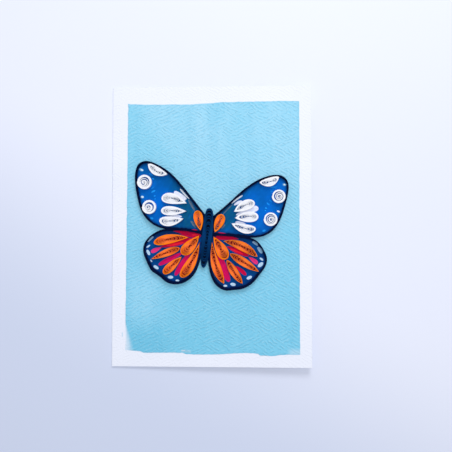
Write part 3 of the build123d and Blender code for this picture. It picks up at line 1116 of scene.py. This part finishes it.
def body_underpaint():
    """Dark blue paint under the body."""
    finish = Finish("body_dark_paint", 0.7)
    finish.colour(finish.mix(finish.noise(finish.place(), 1.0), srgb(2, 10, 32), srgb(4, 22, 56)))
    return finish.material


folded_sheet(plain_watercolour_paper(), washed_watercolour_paper())
painted_cutout([forewing_paint(), hindwing_paint(), body_underpaint()])

edging = edging_finish()
for wing in wings:
    wing_outline(wing, edging)

# Each paper's colour at the rim, in the loose turns (deeper, as painted shade) and low on its
# walls (a painted shade colour), how far the walls turn to it, the painted glow's colour with its
# strength, the roughness, and how much its fibres show
strip_papers = {
    "white_strip": (
        (246, 248, 252), (238, 241, 246), (110, 118, 126), 0.2, (220, 224, 226), 0.22, 0.8, 0.08,
    ),
    "orange_strip": ((255, 132, 14), (255, 124, 56), (200, 12, 26), 0.6, (250, 50, 40), 0.16, 0.75, 0.04),
    "navy_strip": ((4, 56, 106), (4, 56, 106), (0, 4, 20), 0.85, (2, 24, 62), 0.02, 0.7, 0.05),
}
strip_finishes = {
    slot: quilling_paper_finish(f"{slot}_paper", *paper) for slot, paper in strip_papers.items()
}
for index, name in enumerate(petals):
    if name == "body":
        slot = "navy_strip"
    elif "hindwing" in name or "root" in name:
        slot = "orange_strip"
    else:
        slot = "white_strip"
    rolled_strip(name, strip_finishes[slot], slot, 11 + index)


# The paint on the wings, piece by piece: its name, its thin and its thick colour, how far it starts
# above the cut-out's top, and its marks, which are outlined as the petals are
paint_layers = {
    "pale_lavender_strokes": ("pale_lavender_paint", (206, 214, 236), (232, 236, 250), 0.004, [
        ((-15.6, 17.2), (-23.6, 22.0), 3.4, 0.6, 0.45, 0.4),
        ((-16.4, 16.4), (-22.6, 20.6), 3.0, 0.6, 0.45, 0.2),
        ((-18.6, 6.2), (-27.0, 5.6), 2.3, 0.6, 0.5, 0.0),
        ((14.6, 13.2), (20.0, 15.8), 1.9, 0.6, 0.5, 0.3),
        ((18.8, 8.6), (30.0, 11.4), 4.2, 0.9, 0.45, 0.3),
        ((15.8, 7.0), (21.4, 8.8), 2.0, 0.6, 0.5, 0.0),
        ((15.4, 2.4), (22.0, 1.4), 2.0, 0.5, 0.8, 0.0),
    ]),
    "white_strokes": ("white_paint", (214, 228, 244), (240, 245, 252), 0.012, [
        ((-19.7, 23.8), (-13.8, 17.2), 1.1, 0.35, 0.5, -0.15),
        ((13.1, 14.3), (20.0, 19.4), 1.0, 0.5, 0.35, 0.2),
        ((-44.8, 18.8), (-43.1, 18.6), 1.3, 0.5, 0.5, 0.0),
        ((41.7, 9.5), (43.5, 8.8), 1.1, 0.5, 0.5, 0.0),
        ((-45.2, 36.3), (-43.5, 35.7), 1.0, 0.5, 0.5, 0.0),
        ((45.9, 26.2), (47.2, 25.9), 1.1, 0.5, 0.5, 0.0),
    ]),
    "pale_blue_rings": ("pale_blue_paint", (70, 150, 200), (110, 182, 220), 0.002, [
        ((-46.2, 36.7), (-43.3, 35.5), 1.9, 0.5, 0.5, 0.0),
        ((45.3, 26.4), (47.6, 25.7), 1.8, 0.5, 0.5, 0.0),
        ((-45.1, 18.8), (-42.9, 18.6), 1.8, 0.5, 0.5, 0.0),
    ]),
    "cyan_strokes": ("cyan_paint", (12, 128, 226), (34, 160, 240), 0.006, [
        ((-38.8, 5.5), (-36.9, 4.6), 1.3, 0.5, 0.5, 0.0),
        ((32.5, -3.3), (34.5, -2.7), 1.3, 0.5, 0.5, 0.0),
        ((-38.3, 21.6), (-35.6, 22.9), 1.1, 0.6, 0.6, 0.0),
        ((-36.7, 19.2), (-35.4, 19.5), 0.9, 0.5, 0.5, 0.0),
        ((-36.2, 17.2), (-35.4, 17.6), 0.6, 0.5, 0.5, 0.0),
        ((-37.8, 30.5), (-36.4, 30.0), 0.8, 0.5, 0.5, 0.0),
        ((35.3, 14.8), (37.0, 13.1), 0.9, 0.6, 0.6, 0.0),
        ((34.2, 11.6), (35.5, 10.9), 0.9, 0.5, 0.5, 0.0),
        ((34.0, 10.0), (34.8, 9.6), 0.6, 0.5, 0.5, 0.0),
    ]),
    "azure_strokes": ("azure_paint", (10, 108, 200), (24, 134, 216), 0.003, [
        ((-40.0, 34.2), (-37.3, 32.4), 1.3, 0.7, 0.7, 0.0),
        ((-38.4, 24.0), (-36.2, 25.3), 0.9, 0.7, 0.7, 0.0),
        ((37.2, 24.5), (42.0, 24.9), 1.3, 0.7, 0.7, 0.0),
        ((37.7, 22.1), (39.5, 21.6), 0.9, 0.7, 0.7, 0.0),
        ((36.8, 16.6), (38.4, 15.2), 0.8, 0.7, 0.7, 0.0),
    ]),
    "grey_streaks": ("grey_streak_paint", (40, 92, 128), (112, 124, 142), 0.002, [
        ((-14.4, 16.8), (-10.0, 8.8), 1.7, 0.6, 0.9, 0.2),
        ((-13.0, 3.2), (-9.6, -1.2), 1.9, 0.7, 0.7, 0.4),
        ((7.2, 7.0), (13.8, 13.8), 0.8, 0.8, 0.8, 0.2),
        ((6.3, -1.6), (8.8, 1.0), 1.5, 0.7, 0.7, 0.0),
    ]),
    "pale_grey_spots": ("pale_grey_paint", (110, 160, 200), (160, 196, 224), 0.004, [
        ((-40.4, -9.9), (-36.8, -6.6), 1.5, 0.4, 0.4, 0.2),
        ((26.2, -9.9), (29.6, -12.2), 1.7, 0.4, 0.4, 0.2),
        ((29.4, -13.4), (32.2, -17.3), 2.3, 0.5, 0.5, 0.3),
    ]),
    "pale_wing_spots": ("pale_spot_paint", (160, 208, 240), (214, 232, 248), 0.004, [
        ((-41.2, -13.6), (-38.9, -12.0), 1.1, 0.45, 0.45, 0.0),
        ((-40.9, -15.0), (-39.2, -18.4), 1.9, 0.5, 0.5, 0.0),
        ((-38.6, -21.3), (-37.6, -22.8), 0.8, 0.5, 0.5, 0.0),
        ((-36.6, -25.2), (-33.5, -27.1), 1.9, 0.45, 0.45, 0.0),
        ((-27.6, -32.3), (-24.1, -32.4), 1.9, 0.5, 0.5, 0.0),
        ((-22.6, -34.4), (-20.2, -34.5), 1.2, 0.5, 0.5, 0.0),
        ((30.8, -20.1), (33.0, -21.8), 1.2, 0.5, 0.5, 0.0),
        ((29.7, -25.8), (32.8, -23.1), 2.3, 0.5, 0.5, 0.0),
        ((22.6, -33.4), (25.8, -31.8), 1.9, 0.45, 0.45, 0.0),
        ((12.2, -36.6), (15.6, -37.1), 2.0, 0.5, 0.5, 0.0),
        ((7.8, -37.7), (10.2, -37.8), 1.3, 0.5, 0.5, 0.0),
    ]),
    # Painted shade: dark crimson paint under each orange coil, a little narrower than it, darkens the
    # gaps between its turns
    "crimson_gap_shade_strokes": ("crimson_gap_shade_paint", (104, 4, 40), (140, 8, 44), 0.002, [
        (first, other, 0.85 * width, first_power, other_power, bow)
        for petal, (first, other, width, first_power, other_power, bow) in petals.items()
        if "hindwing" in petal
    ]),
    "crimson_strokes": ("crimson_paint", (172, 6, 70), (214, 14, 66), 0.004, [
        ((-24.2, -3.1), (-6.4, -6.2), 3.4, 0.9, 0.4, 0.5),
        ((-20.0, -5.0), (-6.8, -6.6), 2.6, 0.9, 0.4, 0.0),
        ((3.0, -7.0), (17.6, -8.3), 3.2, 0.35, 0.9, 0.3),
        ((-32.2, -13.2), (-12.0, -8.0), 3.3, 0.7, 0.5, -0.3),
        ((-12.6, -2.3), (-8.8, -2.5), 0.7, 0.8, 0.6, 0.0),
        ((4.4, -4.1), (9.4, -4.8), 0.7, 0.6, 0.9, 0.0),
        ((15.2, -25.2), (22.2, -31.0), 2.4, 0.8, 0.45, 0.2),
        ((10.0, -13.0), (23.8, -19.0), 3.3, 0.7, 0.6, 0.2),
    ]),
    "scarlet_strokes": ("scarlet_paint", (232, 22, 60), (250, 46, 70), 0.018, [
        ((-28.4, -12.4), (-17.4, -10.2), 1.7, 0.7, 0.7, -0.1),
        ((12.0, -14.3), (20.6, -17.8), 1.5, 0.7, 0.8, 0.1),
        ((-12.6, -5.6), (-7.2, -5.4), 1.3, 0.8, 0.6, 0.0),
    ]),
    "magenta_strokes": ("magenta_paint", (186, 8, 96), (218, 22, 100), 0.006, [
        ((-33.4, -24.6), (-17.0, -16.4), 2.9, 0.4, 0.7, 0.1),
        ((-22.9, -31.3), (-13.6, -17.0), 3.6, 0.45, 0.5, 0.0),
        ((4.2, -16.0), (11.4, -35.2), 4.7, 0.5, 0.42, -0.3),
    ]),
    "pink_petals": ("pink_paint", (216, 46, 120), (236, 64, 136), 0.006, [
        ((-38.3, -16.5), (-31.6, -13.4), 2.6, 0.42, 0.9, 0.0),
        ((23.7, -19.6), (29.4, -23.8), 2.7, 0.9, 0.42, 0.2),
    ]),
}
for name, (paint, thin_colour, thick_colour, layer, marks) in paint_layers.items():
    paint_marks(name, marks, brushed_paint(paint, thin_colour, thick_colour), layer)


def pale_table():
    """A pale table top in metres, far wider than the view, with painted shade darkening it towards
    its lower left.
    """
    mesh = bpy.data.meshes.new("table_top")
    half = 1.6
    corners = [(-half, -half, 0), (half, -half, 0), (half, half, 0), (-half, half, 0)]
    mesh.from_pydata(corners, [], [(0, 1, 2, 3)])
    finish = Finish("pale_table", 0.7)
    x, y = finish.x_and_y()
    # Painted shade: the table darkens towards its lower left
    corner = finish.line(x, 0.6, y)
    clouds = finish.stretched_noise((4, 4, 4), 1.0, 0.5)
    pale = finish.mix(clouds, srgb(229, 234, 247), srgb(235, 239, 250))
    finish.colour(finish.mix(finish.ease(corner, 20.0, -150.0), pale, srgb(208, 217, 236)))
    mesh.materials.append(finish.material)
    table = bpy.data.objects.new("table_top", mesh)
    bpy.context.scene.collection.objects.link(table)


def soft_lamp(name, place, size, power, colour):
    """A square area lamp at a place in metres, turned to face the middle of the table."""
    lamp = bpy.data.lights.new(name, "AREA")
    lamp.shape = "SQUARE"
    lamp.size = size
    lamp.energy = power
    lamp.color = colour
    holder = bpy.data.objects.new(name, lamp)
    holder.location = place
    holder.rotation_mode = "QUATERNION"
    holder.rotation_quaternion = (-Vector(place)).to_track_quat("-Z", "Y")
    bpy.context.scene.collection.objects.link(holder)


pale_table()
soft_lamp("window_lamp", (0.12, 0.5, 0.6), 0.3, 2.4, (0.97, 0.97, 1.0))
soft_lamp("overhead_lamp", (0.06, 0.06, 1.1), 0.4, 5.2, (0.98, 0.97, 1.0))

world = bpy.data.worlds.new("studio")
world.use_nodes = True
background = world.node_tree.nodes["Background"]
background.inputs["Color"].default_value = (0.9, 0.92, 1.0, 1.0)
background.inputs["Strength"].default_value = 0.4
bpy.context.scene.world = world
bpy.context.scene.view_settings.view_transform = "Standard"

camera = bpy.data.objects.new("camera", bpy.data.cameras.new("camera"))
camera.data.lens = 50.0
camera.data.sensor_width = 36.0
camera.data.clip_start = 0.01
camera.location = (0.012235, -0.011023, 0.402265)
tilt = Vector((0.0278, 0.0072, -0.0008))
camera.rotation_mode = "QUATERNION"
camera.rotation_quaternion = Quaternion(tilt.normalized(), tilt.length)
bpy.context.scene.collection.objects.link(camera)
bpy.context.scene.camera = camera
